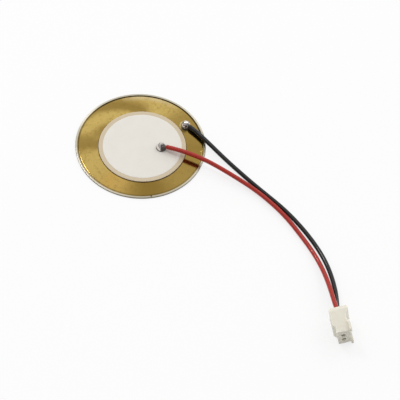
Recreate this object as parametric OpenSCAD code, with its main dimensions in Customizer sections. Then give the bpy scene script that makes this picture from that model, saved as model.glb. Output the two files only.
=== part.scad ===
// Wired piezo disc: brass diaphragm, bonded piezo ceramic, two soldered leads
// and a two-way crimp connector. Millimetres, +Z up, bright face of the disc up.
// Origin: centre of the diaphragm's underside, on the surface it lies on.

/* [Diaphragm] */
// Diameter of the brass diaphragm
plate_d = 35; // [31:0.5:45]
// Thickness of the brass diaphragm
plate_t = 0.4; // [0.3:0.05:0.8]
// Width of the rolled band along the upper edge
edge_roll_w = 0.5; // [0.2:0.05:0.8]
// Radius of the roll, at least its width
edge_roll_r = 0.6; // [0.6:0.05:1]

/* [Ceramic] */
// Diameter of the piezo ceramic
ceramic_d = 23.5; // [20:0.5:27]
// Thickness of the piezo ceramic
ceramic_t = 0.25; // [0.15:0.05:0.5]
// Sideways error of the bonding, along X
bond_shift_x = 0.5; // [-0.6:0.1:0.6]
// Sideways error of the bonding, along Y
bond_shift_y = -0.6; // [-0.6:0.1:0.6]
// Bare margin round the silver print on the upper face
front_margin = 1.15; // [0.3:0.05:3]
// Thickness of the silver print on the upper face
electrode_t = 0.03; // [0.02:0.01:0.06]
// Bare margin round the silver print on the lower face
rear_margin = 0.3; // [0.1:0.1:1]
// Thickness of the silver print on the lower face
rear_electrode_t = 0.02; // [0.02:0.01:0.06]
// Thickness of the adhesive under the lower print
bond_t = 0.03; // [0.02:0.01:0.08]
// Adhesive that stands out beyond the ceramic
bond_bead = 0.15; // [0.05:0.05:0.4]

/* [Solder] */
// Diameter of a solder joint where it wets the metal
solder_d = 2.8; // [2:0.1:3]
// Height of a solder joint
solder_h = 1.7; // [1.2:0.05:2]
// Height of the strands over the metal, in the joint
strand_rise = 0.9; // [0.7:0.05:1]
// Diameter of the solder drawn along the strands
solder_neck_d = 1; // [0.7:0.05:1.1]
// Place of the brass joint across the bare brass, from touching the adhesive, 0, to the rim, 1
ring_joint_place = 0.25; // [0:0.01:1]
// Direction of the brass joint from the disc's centre, in degrees
ring_joint_angle = 34; // [0:1:360]
// Distance of the silver joint from the ceramic's centre
print_joint_r = 5.1; // [0:0.1:8]
// Direction of the silver joint from the ceramic's centre, in degrees
print_joint_angle = 0; // [-180:1:180]

/* [Leads] */
// Outer diameter of a lead
lead_d = 1.2; // [0.9:0.05:1.25]
// Diameter of the bared strands
strand_d = 0.45; // [0.3:0.05:0.6]
// Bared length at the solder, from the middle of the joint
bared_l = 1.5; // [1.45:0.05:2]

/* [Connector] */
// Distance between the two ways
pitch = 2; // [2:0.05:2.5]
// Length of the housing from its mating face to its wire end
housing_l = 7.6; // [7.4:0.1:10]
// Side of the square cavity of one way
cavity = 1.7; // [1.65:0.05:1.8]
// Wall between a cavity and a narrow side
end_wall = 1.05; // [0.6:0.05:1.5]
// Wall on the side of the locking windows
window_wall = 1.35; // [1:0.05:1.8]
// Wall on the side of the ribs
back_wall = 0.95; // [0.6:0.05:1.5]
// Wall of the mating face
front_wall = 0.7; // [0.5:0.05:1]
// Depth of the step in front of the windows
nose_step = 0.7; // [0.2:0.05:0.9]
// Length of the stepped nose
nose_l = 1.8; // [1:0.1:2.4]
// Height of the collar at the wire end
collar_h = 0.8; // [0:0.05:1]
// Length of the collar at the wire end
collar_l = 1.2; // [0.6:0.1:1.6]
// Height of the polarising ribs on the broad side
rib_h = 0.5; // [0.2:0.05:0.8]
// Height of the polarising ribs on the narrow sides
key_h = 0.8; // [0.4:0.05:1.2]
// Width of the polarising ribs
rib_w = 0.6; // [0.5:0.05:1]
// Length of the polarising ribs at full height
rib_l = 2.3; // [1.5:0.1:3]
// Side of the square pin opening
pin_opening = 0.85; // [0.8:0.05:1.2]
// Bevel round the mouth of the pin opening
mouth_bevel = 0.25; // [0.1:0.05:0.3]
// Start of the locking window behind the mating face
window_y = 3.7; // [3.6:0.05:4]
// Length of the locking window
window_l = 1.6; // [1.4:0.05:1.8]
// Width of the locking window
window_w = 1.1; // [0.9:0.05:1.3]
// Length of the tapered wire end
rear_taper_l = 0.9; // [0.5:0.05:1.1]
// Depth of the step where the wire end's taper starts
rear_step = 0.2; // [0.1:0.05:0.3]
// Depth of the taper at the wire end
rear_taper_h = 0.45; // [0.35:0.05:0.7]
// Bevel round the mating face
front_bevel = 0.2; // [0:0.05:0.3]

/* [Crimp terminals] */
// Thickness of the terminal's sheet
sheet_t = 0.15; // [0.1:0.01:0.2]
// Gap between the terminal and its cavity
terminal_gap = 0.1; // [0.05:0.01:0.15]
// Gap between the terminal's box and the front wall
terminal_inset = 0.1; // [0.05:0.05:0.3]
// Length of the terminal's box
box_l = 2.7; // [2.4:0.1:3]
// Length of the crimp on the strands
strand_crimp_l = 0.9; // [0.6:0.1:1.1]
// Length of the crimp on the insulation
lead_crimp_l = 1.1; // [0.8:0.1:1.2]
// Gap between the two crimps
crimp_gap = 0.5; // [0.3:0.1:0.7]
// Width of the locking lance
lance_w = 0.7; // [0.5:0.05:0.8]
// Room between the insulation and its crimp
lead_crimp_gap = 0.05; // [0.03:0.01:0.08]

/* [Connector's place] */
// Place of the mating face along X
connector_x = 55.8; // [50:0.05:60]
// Place of the mating face along Y
connector_y = -55.9; // [-60:0.05:-50]
// Direction of the connector, in degrees from -Y
connector_turn = 14; // [-45:1:45]

/* [Hidden] */
$fn = 96;

// Points that each lead's centre line passes between its solder and its crimp
black_bends = [
    [14.8, 5.1, 1.4], [16.8, 3.1, 1.5], [18.9, 1.1, 1.5], [20.9, -1.1, 1.5], [23.1, -3.1, 1.4],
    [25.3, -5.2, 1.3], [27.5, -7, 1.1], [29.8, -9, 0.9], [32.2, -10.9, 0.7], [34.5, -12.8, 0.6],
    [36.8, -14.7, 0.6], [39, -16.7, 0.6], [41.1, -18.7, 0.6], [43, -20.9, 0.6], [44.9, -23.1, 0.6],
    [46.6, -25.3, 0.6], [48.1, -27.7, 0.7], [49.6, -30.1, 0.8], [50.7, -32.5, 1], [51.7, -35, 1.2],
    [52.5, -37.6, 1.5], [53.1, -40.2, 1.8], [53.65, -42.9, 2.05], [53.95, -45.6, 2.25], [54.1, -48.3, 2.3]
];
red_bends = [
    [9.7, -1.8, 2.15], [12.4, -2.7, 2.4], [15.2, -3.7, 2.5], [18, -4.8, 2.4], [20.6, -6, 2.15],
    [23.3, -7.3, 1.85], [25.9, -8.7, 1.6], [28.4, -10.1, 1.35], [30.9, -11.6, 1.15], [33.2, -13.3, 1],
    [35.4, -15.1, 0.95], [37.5, -17.1, 0.9], [39.6, -19.1, 0.8], [41.5, -21.3, 0.7], [43.2, -23.6, 0.6],
    [44.9, -25.9, 0.6], [46.6, -28.3, 0.7], [48, -30.9, 0.9], [49.4, -33.6, 1.2], [50.5, -36.4, 1.6],
    [51.4, -39.3, 2.2], [52.2, -42.2, 2.85], [52.75, -44.8, 3.5], [53.25, -46.9, 4.1], [53.75, -48.5, 4.25]
];
lead_sides = 8;

// Levels of the disc's layers, from the surface up
bond_z = plate_t;
rear_electrode_z = bond_z + bond_t;
ceramic_z = rear_electrode_z + rear_electrode_t;
electrode_z = ceramic_z + ceramic_t;
print_top_z = electrode_z + electrode_t;

// Places of the solder joints, each on the metal it wets
bond_shift = [bond_shift_x, bond_shift_y, 0];
bond_side = ceramic_d / 2 + bond_bead + bond_shift * polar(1, ring_joint_angle);
bare_w = plate_d / 2 - edge_roll_w - bond_side;
ring_joint_r = bond_side + solder_d / 2 + ring_joint_place * (bare_w - solder_d);
ring_joint = polar(ring_joint_r, ring_joint_angle) + [0, 0, plate_t];
print_joint = bond_shift + polar(print_joint_r, print_joint_angle) + [0, 0, print_top_z];
solder_flare = 0.1;
solder_steps = 12;
solder_neck_reach = 0.9;

// Housing: X across its thickness, Y from the mating face to the wire end, Z along the pitch.
// The axis between the two cavities runs through X = 0, Z = 0.
housing_w = pitch + cavity + 2 * end_wall;
window_side = -(cavity / 2 + window_wall);
back_side = cavity / 2 + back_wall;
rib_side = back_side + rib_h;
collar_side = back_side + collar_h;
nose_slope = 0.9;
collar_slope = 1.4;
corner_cut = 0.6;
rib_slope = 0.9;
way_z = [pitch / 2, -pitch / 2];
red_way = 0;
black_way = 1;
through = 1;

// The housing lies on the edge of its window side and on the tip of one narrow rib
connector_lean = atan(key_h / (rib_side - rib_w - window_side));
connector_z = housing_w / 2 * cos(connector_lean) - window_side * sin(connector_lean);

// Terminal, in the housing's own frame with its cavity's axis through X = 0, Z = 0
floor_x = cavity / 2 - sheet_t;
terminal_w = cavity - 2 * terminal_gap;
box_y = front_wall + terminal_inset;
box_end = box_y + box_l;
strand_crimp_y = box_end + crimp_gap;
strand_crimp_end = strand_crimp_y + strand_crimp_l;
lead_end_y = strand_crimp_end + 0.7 * crimp_gap;
lead_crimp_y = strand_crimp_end + crimp_gap;
terminal_end = lead_crimp_y + lead_crimp_l;
lead_crimp_r = lead_d / 2 + lead_crimp_gap;
strand_stub = 0.1;
lance_foot = 0.3;
lance_rise = 0.55;
lance_gap = 0.05;
tongue_inset = 0.4;
tongue_gap = 0.5;

function polar(r, a) = [r * cos(a), r * sin(a), 0];
function unit(v) = v / norm(v);
function strand_start(joint) = joint + [0, 0, strand_rise];

// Where a point of the housing's own frame comes to lie
function leaned(p) = [
    p[0] * cos(connector_lean) - p[2] * sin(connector_lean),
    p[1],
    p[0] * sin(connector_lean) + p[2] * cos(connector_lean)
];
function turned(p) = [
    p[0] * cos(connector_turn) - p[1] * sin(connector_turn),
    p[0] * sin(connector_turn) + p[1] * cos(connector_turn),
    p[2]
];
function placed(p) = [connector_x, connector_y, connector_z] + turned(leaned(p));

// A lead leaves its joint straight towards its first bend, and ends along the axis of its way
function lead_route(joint, bends, way) = concat(
    [strand_start(joint) + bared_l * unit(bends[0] - strand_start(joint))],
    bends,
    [for (y = [lead_end_y + lead_crimp_l, lead_end_y]) placed([0, y, way_z[way]])]
);
black_route = lead_route(ring_joint, black_bends, black_way);
red_route = lead_route(print_joint, red_bends, red_way);

// One ring of a lead round point i of its route, square to the route there
function route_dir(route, i) = unit(route[min(i + 1, len(route) - 1)] - route[max(i - 1, 0)]);
function ring_side(route, i) = unit(cross(route_dir(route, i), [0, 0, 1]));
function ring_up(route, i) = cross(ring_side(route, i), route_dir(route, i));
function ring(route, i, r) = [
    for (k = [0 : lead_sides - 1])
        let (a = 360 * k / lead_sides)
        route[i] + r * (cos(a) * ring_side(route, i) + sin(a) * ring_up(route, i))
];

module sweep(route, d) {
    rings = len(route);
    points = [for (i = [0 : rings - 1]) each ring(route, i, d / 2)];
    walls = [
        for (i = [0 : rings - 2], k = [0 : lead_sides - 1])
            let (next = (k + 1) % lead_sides)
            [i * lead_sides + k, i * lead_sides + next, (i + 1) * lead_sides + next, (i + 1) * lead_sides + k]
    ];
    first_face = [for (k = [lead_sides - 1 : -1 : 0]) k];
    last_face = [for (k = [0 : lead_sides - 1]) (rings - 1) * lead_sides + k];
    polyhedron(points, concat(walls, [first_face, last_face]), convexity = 4);
}

// A rod from one point to another
module rod(from, to, d) {
    v = to - from;
    translate(from)
        rotate([0, acos(v[2] / norm(v)), atan2(v[1], v[0])])
            cylinder(h = norm(v), d = d, $fn = 32);
}

module disc(d, t) {
    cylinder(h = t, d = d, $fn = 180);
}

module brass_plate() {
    r = plate_d / 2;
    color("#bf9f55")
        rotate_extrude($fn = 180)
            intersection() {
                square([r, plate_t]);
                union() {
                    square([r - edge_roll_w, plate_t]);
                    translate([r - edge_roll_w, plate_t - edge_roll_r])
                        circle(r = edge_roll_r);
                }
            }
}

module adhesive_film() {
    electrode_r = ceramic_d / 2 - rear_margin;
    color("#5c4a2c")
        translate(bond_shift + [0, 0, bond_z])
            difference() {
                disc(ceramic_d + 2 * bond_bead, bond_t + rear_electrode_t);
                translate([0, 0, bond_t])
                    disc(2 * electrode_r, rear_electrode_t + through);
            }
}

module rear_electrode() {
    color("#cfccc6")
        translate(bond_shift + [0, 0, rear_electrode_z])
            disc(ceramic_d - 2 * rear_margin, rear_electrode_t);
}

module ceramic_disc() {
    color("#decaa6")
        translate(bond_shift + [0, 0, ceramic_z])
            disc(ceramic_d, ceramic_t);
}

module silver_electrode() {
    color("#e6e2da")
        translate(bond_shift + [0, 0, electrode_z])
            disc(ceramic_d - 2 * front_margin, electrode_t);
}

// Half outline of a solder joint: a dome whose foot flares out over the metal
function solder_outline() = [
    for (k = [0 : solder_steps])
        let (a = 90 * k / solder_steps)
        [(solder_d / 2 - solder_flare) * cos(a) + solder_flare * pow(1 - sin(a), 3), solder_h * sin(a)]
];

module solder_joint(joint, lead_start) {
    from = strand_start(joint);
    neck_end = from + solder_neck_reach * (lead_start - from);
    color("#c9c9cb")
        difference() {
            union() {
                translate(joint)
                    rotate_extrude($fn = 48)
                        polygon(concat([[0, 0]], solder_outline()));
                rod(from, neck_end, solder_neck_d);
            }
            rod(from, lead_start, strand_d);
        }
}

module black_solder_joint() {
    solder_joint(ring_joint, black_route[0]);
}

module red_solder_joint() {
    solder_joint(print_joint, red_route[0]);
}

module bared_end(joint, lead_start) {
    color("#c4beb4")
        rod(strand_start(joint), lead_start, strand_d);
}

module black_bared_end() {
    bared_end(ring_joint, black_route[0]);
}

module red_bared_end() {
    bared_end(print_joint, red_route[0]);
}

module black_lead() {
    color("#26242a")
        sweep(black_route, lead_d);
}

module red_lead() {
    color("#a3261d")
        sweep(red_route, lead_d);
}

// Puts the housing's own frame where the connector lies
module connector_place() {
    translate(placed([0, 0, 0]))
        rotate([0, -connector_lean, connector_turn])
            children();
}

// Outline of the housing across its thickness
module side_profile() {
    polygon([
        [window_side + nose_step, 0],
        [window_side + nose_step, nose_l],
        [window_side, nose_l + nose_slope],
        [window_side, housing_l - corner_cut],
        [window_side + corner_cut, housing_l],
        [collar_side, housing_l],
        [collar_side, housing_l - collar_l],
        [back_side, housing_l - collar_l - collar_slope],
        [back_side, 0]
    ]);
}

// Outline of the housing along its width: its front bevelled, its wire end stepped and tapered
module width_profile() {
    w = housing_w / 2;
    taper_y = housing_l - rear_taper_l;
    polygon([
        [0, -w + front_bevel], [front_bevel, -w],
        [taper_y, -w], [taper_y, -w + rear_step], [housing_l, -w + rear_taper_h],
        [housing_l, w - rear_taper_h], [taper_y, w - rear_step], [taper_y, w],
        [front_bevel, w], [0, w - front_bevel]
    ]);
}

// Lays an outline drawn along Y and Z out across X, from x0 over a width
module across(x0, width) {
    translate([x0, 0, 0])
        rotate([90, 0, 90])
            linear_extrude(height = width)
                children();
}

// A polarising rib at one corner: over the narrow side and over the broad side
module corner_rib(top) {
    base = housing_w / 2 - rib_w;
    mirror([0, 0, top ? 0 : 1])
        across(rib_side - rib_w, rib_w)
            polygon([
                [0, base], [0, housing_w / 2 + key_h],
                [rib_l, housing_w / 2 + key_h], [rib_l + rib_slope, housing_w / 2],
                [rib_l + rib_slope, base]
            ]);
}

// The way through the housing of one terminal
module way_cut() {
    c = cavity / 2;
    translate([-c, front_wall, -c])
        cube([cavity, housing_l, cavity]);
    translate([-pin_opening / 2, -through, -pin_opening / 2])
        cube([pin_opening, front_wall + 2 * through, pin_opening]);
    mouth = pin_opening / 2 + mouth_bevel;
    intersection() {
        linear_extrude(height = cavity, center = true)
            polygon([[-mouth, 0], [mouth, 0], [0, mouth]]);
        across(-c, cavity)
            polygon([[0, -mouth], [0, mouth], [mouth, 0]]);
    }
    translate([-c - window_wall - through, window_y, -window_w / 2])
        cube([window_wall + 2 * through, window_l, window_w]);
}

module connector_housing() {
    color("#e9e4d6")
        connector_place()
            difference() {
                union() {
                    intersection() {
                        linear_extrude(height = housing_w, center = true)
                            side_profile();
                        across(-housing_l, 2 * housing_l)
                            width_profile();
                    }
                    corner_rib(true);
                    corner_rib(false);
                }
                for (z = way_z)
                    translate([0, 0, z])
                        way_cut();
            }
}

// A crimp barrel: a sleeve with a web down to the terminal's floor
module barrel(y, length, inner_r) {
    outer_r = inner_r + sheet_t;
    difference() {
        union() {
            translate([0, y, 0])
                rotate([-90, 0, 0])
                    cylinder(h = length, r = outer_r, $fn = 48);
            translate([0, y, -terminal_w / 4])
                cube([floor_x + sheet_t / 2, length, terminal_w / 2]);
        }
        translate([0, y - through, 0])
            rotate([-90, 0, 0])
                cylinder(h = length + 2 * through, r = inner_r, $fn = 48);
    }
}

// The box that receives the pin, with a sprung tongue inside
module terminal_box() {
    top_x = -terminal_w / 2;
    inside = floor_x - top_x - sheet_t;
    translate([0, box_y, 0])
        difference() {
            translate([top_x, 0, -terminal_w / 2])
                cube([floor_x + sheet_t - top_x, box_l, terminal_w]);
            translate([top_x + sheet_t, -through, -terminal_w / 2 + sheet_t])
                cube([inside, box_l + 2 * through, terminal_w - 2 * sheet_t]);
        }
    tongue_x = top_x + sheet_t + inside - tongue_gap;
    translate([0, box_y, 0])
        linear_extrude(height = lance_w, center = true)
            polygon([
                [top_x, tongue_inset], [top_x + sheet_t, tongue_inset],
                [tongue_x, box_l / 2], [top_x + sheet_t, box_l - tongue_inset],
                [top_x, box_l - tongue_inset], [tongue_x - 2 * sheet_t, box_l / 2]
            ]);
}

// The lance, sprung out from the box's roof into the locking window
module lance() {
    top_x = -terminal_w / 2;
    foot = box_end - lance_foot;
    tip = window_y + window_l - lance_gap;
    linear_extrude(height = lance_w, center = true)
        polygon([
            [top_x, foot], [top_x + sheet_t, foot], [top_x + sheet_t, window_y],
            [top_x + sheet_t - lance_rise, tip], [top_x - lance_rise, tip], [top_x, window_y]
        ]);
}

module crimp_terminal() {
    color("#c8c4ba") {
        translate([floor_x, box_y, -terminal_w / 4])
            cube([sheet_t, terminal_end - box_y, terminal_w / 2]);
        terminal_box();
        lance();
        barrel(strand_crimp_y, strand_crimp_l, strand_d / 2);
        barrel(lead_crimp_y, lead_crimp_l, lead_crimp_r);
    }
}

module in_way(way) {
    connector_place()
        translate([0, 0, way_z[way]])
            children();
}

module black_crimp_terminal() {
    in_way(black_way) crimp_terminal();
}

module red_crimp_terminal() {
    in_way(red_way) crimp_terminal();
}

module crimped_strands() {
    color("#b87848")
        translate([0, strand_crimp_y - strand_stub, 0])
            rotate([-90, 0, 0])
                cylinder(h = lead_end_y - strand_crimp_y + strand_stub, d = strand_d, $fn = 48);
}

module black_crimped_strands() {
    in_way(black_way) crimped_strands();
}

module red_crimped_strands() {
    in_way(red_way) crimped_strands();
}

brass_plate();
adhesive_film();
rear_electrode();
ceramic_disc();
silver_electrode();
black_solder_joint();
red_solder_joint();
black_bared_end();
red_bared_end();
black_lead();
red_lead();
connector_housing();
black_crimp_terminal();
red_crimp_terminal();
black_crimped_strands();
red_crimped_strands();
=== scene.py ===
"""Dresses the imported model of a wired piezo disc: turned brass, fired ceramic, silver print,
solder, PVC leads and a moulded two-way crimp connector. Pieces are worked out in millimetres
and brought to metres at the end."""

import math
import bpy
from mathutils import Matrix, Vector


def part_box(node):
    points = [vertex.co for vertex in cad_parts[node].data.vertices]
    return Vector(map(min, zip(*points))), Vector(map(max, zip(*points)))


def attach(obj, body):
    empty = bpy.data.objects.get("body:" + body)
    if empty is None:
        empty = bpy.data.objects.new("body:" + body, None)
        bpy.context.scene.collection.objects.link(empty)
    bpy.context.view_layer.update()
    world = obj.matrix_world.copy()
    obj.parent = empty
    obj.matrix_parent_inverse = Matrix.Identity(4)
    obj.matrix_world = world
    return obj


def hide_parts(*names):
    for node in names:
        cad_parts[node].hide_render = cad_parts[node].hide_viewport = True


bl_info = {
    "name": "Wired piezo disc",
    "version": (1, 0, 0),
    "blender": (4, 5, 0),
    "location": "3D View > Sidebar > Piezo disc",
    "description": "Builds the finished pieces of a wired piezo disc round its CAD frame",
    "category": "Object",
}

import bmesh
import bpy
from bpy.props import FloatProperty, FloatVectorProperty, PointerProperty
from mathutils import Matrix, Vector, noise

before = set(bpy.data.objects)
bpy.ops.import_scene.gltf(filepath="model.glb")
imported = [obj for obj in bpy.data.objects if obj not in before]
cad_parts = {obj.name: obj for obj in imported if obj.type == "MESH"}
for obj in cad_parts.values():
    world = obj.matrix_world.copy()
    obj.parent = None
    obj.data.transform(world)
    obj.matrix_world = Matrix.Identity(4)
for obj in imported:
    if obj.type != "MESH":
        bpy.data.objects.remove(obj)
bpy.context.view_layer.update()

MM = 0.001
BODY = "root"


# ------------------------------ measures from the frame


def node_span(node):
    """The lowest and highest corners of a CAD node, in millimetres."""
    low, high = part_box(node)
    return low / MM, high / MM


def node_disc(node):
    """A round CAD node's centre at its underside, its radius and its thickness, in millimetres."""
    low, high = node_span(node)
    middle = (low + high) / 2
    return Vector((middle.x, middle.y, low.z)), (high.x - low.x) / 2, high.z - low.z


# ------------------------------ routes of the leads

# The points of the leads' centre lines, in millimetres, as the CAD solids have them
BLACK_ROUTE = [
    (12.707, 6.835, 1.336), (14.8, 5.1, 1.4), (16.8, 3.1, 1.5), (18.9, 1.1, 1.5),
    (20.9, -1.1, 1.5), (23.1, -3.1, 1.4), (25.3, -5.2, 1.3), (27.5, -7, 1.1), (29.8, -9, 0.9),
    (32.2, -10.9, 0.7), (34.5, -12.8, 0.6), (36.8, -14.7, 0.6), (39, -16.7, 0.6),
    (41.1, -18.7, 0.6), (43, -20.9, 0.6), (44.9, -23.1, 0.6), (46.6, -25.3, 0.6),
    (48.1, -27.7, 0.7), (49.6, -30.1, 0.8), (50.7, -32.5, 1), (51.7, -35, 1.2),
    (52.5, -37.6, 1.5), (53.1, -40.2, 1.8), (53.65, -42.9, 2.05), (53.95, -45.6, 2.25),
    (54.1, -48.3, 2.3), (54.46, -49.69, 2.3), (54.73, -50.76, 2.3),
]
RED_ROUTE = [
    (7.029, -1.018, 1.811), (9.7, -1.8, 2.15), (12.4, -2.7, 2.4), (15.2, -3.7, 2.5),
    (18, -4.8, 2.4), (20.6, -6, 2.15), (23.3, -7.3, 1.85), (25.9, -8.7, 1.6), (28.4, -10.1, 1.35),
    (30.9, -11.6, 1.15), (33.2, -13.3, 1), (35.4, -15.1, 0.95), (37.5, -17.1, 0.9),
    (39.6, -19.1, 0.8), (41.5, -21.3, 0.7), (43.2, -23.6, 0.6), (44.9, -25.9, 0.6),
    (46.6, -28.3, 0.7), (48, -30.9, 0.9), (49.4, -33.6, 1.2), (50.5, -36.4, 1.6),
    (51.4, -39.3, 2.2), (52.2, -42.2, 2.85), (52.75, -44.8, 3.5), (53.25, -46.9, 4.1),
    (53.75, -48.5, 4.25), (54.07, -49.79, 4.26), (54.33, -50.86, 4.26),
]
ROUTES = {"black": BLACK_ROUTE, "red": RED_ROUTE}

# How a route is smoothed: how far each round pulls its points in, how far it lets them out again
# so that the route keeps its length, the number of rounds, and how many points stay at each end
PULL_IN, LET_OUT, ROUNDS = 0.5, -0.52, 3
FIRST_KEPT, LAST_KEPT = 2, 3


def eased(route, lowest):
    """A route with the small jogs of its rounded points smoothed out, which comes nowhere under a
    level."""
    points = [Vector(point) for point in route]
    for pull in (PULL_IN, LET_OUT) * ROUNDS:
        middles = [(before + after) / 2 for before, after in zip(points, points[2:])]
        points[FIRST_KEPT:-LAST_KEPT] = [
            point + (middle - point) * pull
            for point, middle in zip(points[FIRST_KEPT:-LAST_KEPT], middles[FIRST_KEPT - 1:])
        ]
    for point in points:
        point.z = max(point.z, lowest)
    return points


def inward(route):
    """The direction of a lead's bared end, into its joint."""
    return (Vector(route[0]) - Vector(route[1])).normalized()


# How far a lead's bared end reaches into its joint, and where the joint on the brass stands
BARED = 1.5
BLACK_JOINT = (Vector(BLACK_ROUTE[0]) + inward(BLACK_ROUTE) * BARED).to_2d()


# ------------------------------ sizes and colours


def length(name, description, millimetres):
    """A length that the user may change, given here in millimetres."""
    return FloatProperty(
        name=name,
        description=description,
        default=millimetres * MM,
        min=0,
        precision=5,
        unit="LENGTH",
    )


def number(name, description, default):
    """A number that the user may change."""
    return FloatProperty(name=name, description=description, default=default)


def angle(name, description, degrees):
    """An angle that the user may change, given here in degrees."""
    return FloatProperty(
        name=name, description=description, default=math.radians(degrees), unit="ROTATION"
    )


def position(name, description, metres):
    """A place that the user may change, given here in metres."""
    return FloatVectorProperty(
        name=name, description=description, default=metres, subtype="TRANSLATION", unit="LENGTH"
    )


def linear(part):
    """A part of an sRGB colour, from 0 to 1, as the linear value that shaders take."""
    return part / 12.92 if part <= 0.04045 else ((part + 0.055) / 1.055) ** 2.4


def colour(name, description, *parts):
    """A colour that the user may change, given here as red, green and blue from 0 to 255."""
    return FloatVectorProperty(
        name=name,
        description=description,
        default=[linear(part / 255) for part in parts] + [1.0],
        size=4,
        min=0,
        max=1,
        subtype="COLOR",
    )


class DiaphragmSettings(bpy.types.PropertyGroup):
    rim_width: length("Rim width", "Width of the rolled rim", 0.8)
    rim_rise: length("Rim rise", "How far the rim stands over the sheet", 0.01)
    crown: length("Crown", "Radius of the rim's rolled crown", 0.2)
    shoulder: length("Shoulder", "Radius of the rim's outer shoulder", 0.14)
    shoulder_drop: length("Shoulder drop", "How far its top stays under the face", 0.02)
    groove_width: length("Groove width", "Width of the groove inside the rim", 0.3)
    groove_depth: length("Groove depth", "Depth of the groove inside the rim", 0.03)
    edge_round: length("Edge rounding", "Rounding of the lower edge", 0.05)
    # Light and dark brass are the two ends of the sheet's painted reflection round the ring; dark
    # brass also colours its real streaks and mottle.
    light: colour("Light brass", "Colour where the rolled sheet is bright", 213, 184, 107)
    dark: colour("Dark brass", "Colour where the rolled sheet is dull", 146, 118, 56)
    # Colour of the painted warm reflection on one stretch of the sheet
    warm_reflection: colour("Warm brass", "Colour of the heat-tinted stretch", 214, 170, 88)
    # Pale end of the painted reflection on the rim, also the painted pale highlight on the sheet
    pale_reflection: colour("Worn rim", "Colour where the rim is worn bright", 255, 248, 228)
    # The cut edge colour is painted shade: the contact shadow along the rim's lower wall
    cut: colour("Cut edge", "Colour of the sheared edge under the rim", 96, 88, 68)
    # Dark end of the painted reflection on the rim
    dull: colour("Dull rim", "Colour where the rim is dull", 96, 84, 52)
    # Tarnish colours the real grain and the dark speck, the painted shade in the groove, and the
    # stain with its painted shadow before the joint
    tarnish_and_shade: colour("Tarnish", "Colour of the tarnish in the groove and in marks", 54, 44, 25)
    # Colour of the flux round the joint, pale as a painted highlight on it
    flux_and_sheen: colour("Flux", "Colour of the flux left round the joint", 240, 220, 160)
    chip: colour("Chip", "Colour of the fresh brass in a chip", 240, 216, 122)


class CeramicSettings(bpy.types.PropertyGroup):
    bead_width: length("Bead width", "How far the adhesive's bead stands out", 0.08)
    bead_height: length("Bead height", "How far the bead climbs the ceramic's edge", 0.12)
    ceramic_edge: length("Ceramic edge", "Unevenness of the ceramic's edge", 0.03)
    print_edge: length("Print edge", "Unevenness of the silver print's edge", 0.04)
    ceramic: colour("Ceramic", "Colour of the fired ceramic", 208, 193, 166)
    speckle: colour("Speckle", "Colour of the speckle in the ceramic", 188, 166, 130)
    silver: colour("Silver print", "Colour of the fired silver print", 232, 228, 219)
    cloud: colour("Silver cloud", "Colour where the print is thin", 218, 213, 206)
    grit: colour("Silver grit", "Colour of the print's grit", 196, 190, 180)
    adhesive: colour("Adhesive", "Colour of the cured adhesive", 84, 62, 30)
    thick: colour("Thick adhesive", "Colour where the adhesive is thick", 70, 50, 22)


class SolderSettings(bpy.types.PropertyGroup):
    voxel: length("Voxel", "Size of the voxels that melt a joint's parts together", 0.05)
    ripple: length("Ripple", "Height of the ripples on the solder", 0.05)
    width: length("Width", "Diameter of a joint over the metal", 2.8)
    height: length("Height", "Height of a joint over the metal", 1.7)
    flare: length("Flare", "Width of the solder drawn out round a joint's foot", 0.1)
    strand: length("Strand", "Diameter of one tinned strand", 0.15)
    solder: colour("Solder", "Colour of the solder", 240, 234, 230)
    # Colour of the flux at a joint's foot, also of the painted dark reflections and painted shade
    # on the solder
    oxide_and_dark_reflection: colour("Oxide", "Colour of the oxide and flux on the solder", 48, 40, 32)
    tin: colour("Tinned strands", "Colour of the tinned strands", 205, 200, 190)
    tin_dull: colour("Dull strands", "Colour where the tinned strands are dull", 150, 144, 134)


class LeadSettings(bpy.types.PropertyGroup):
    diameter: length("Diameter", "Diameter over the insulation", 1.2)
    black_length: length("Black length", "Length of the black lead", 74)
    red_length: length("Red length", "Length of the red lead", 73.7)
    black: colour("Black insulation", "Colour of the black insulation", 7, 6, 6)
    black_dull: colour("Dull black", "Colour where the black insulation is handled", 22, 21, 20)
    red: colour("Red insulation", "Colour of the red insulation", 170, 34, 18)
    red_dull: colour("Dull red", "Colour where the red insulation is handled", 120, 14, 12)


class ConnectorSettings(bpy.types.PropertyGroup):
    bevel: length("Bevel", "Rounding of the moulded edges", 0.09)
    sheet_bevel: length("Sheet bevel", "Rounding of the terminals' edges", 0.03)
    strand_bevel: length("Strand bevel", "Rounding of the crimped strands' ends", 0.04)
    nylon: colour("Nylon", "Colour of the moulded housing", 230, 226, 212)
    cloud: colour("Nylon cloud", "Colour of the clouds in the moulding", 216, 208, 190)
    tin: colour("Tin plate", "Colour of the terminals", 210, 206, 196)
    tin_dull: colour("Dull tin", "Colour where the terminals are dull", 160, 156, 148)
    copper: colour("Copper strands", "Colour of the strands in the crimps", 200, 150, 110)
    copper_dull: colour("Dull copper", "Colour where those strands are dull", 150, 96, 62)


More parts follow.
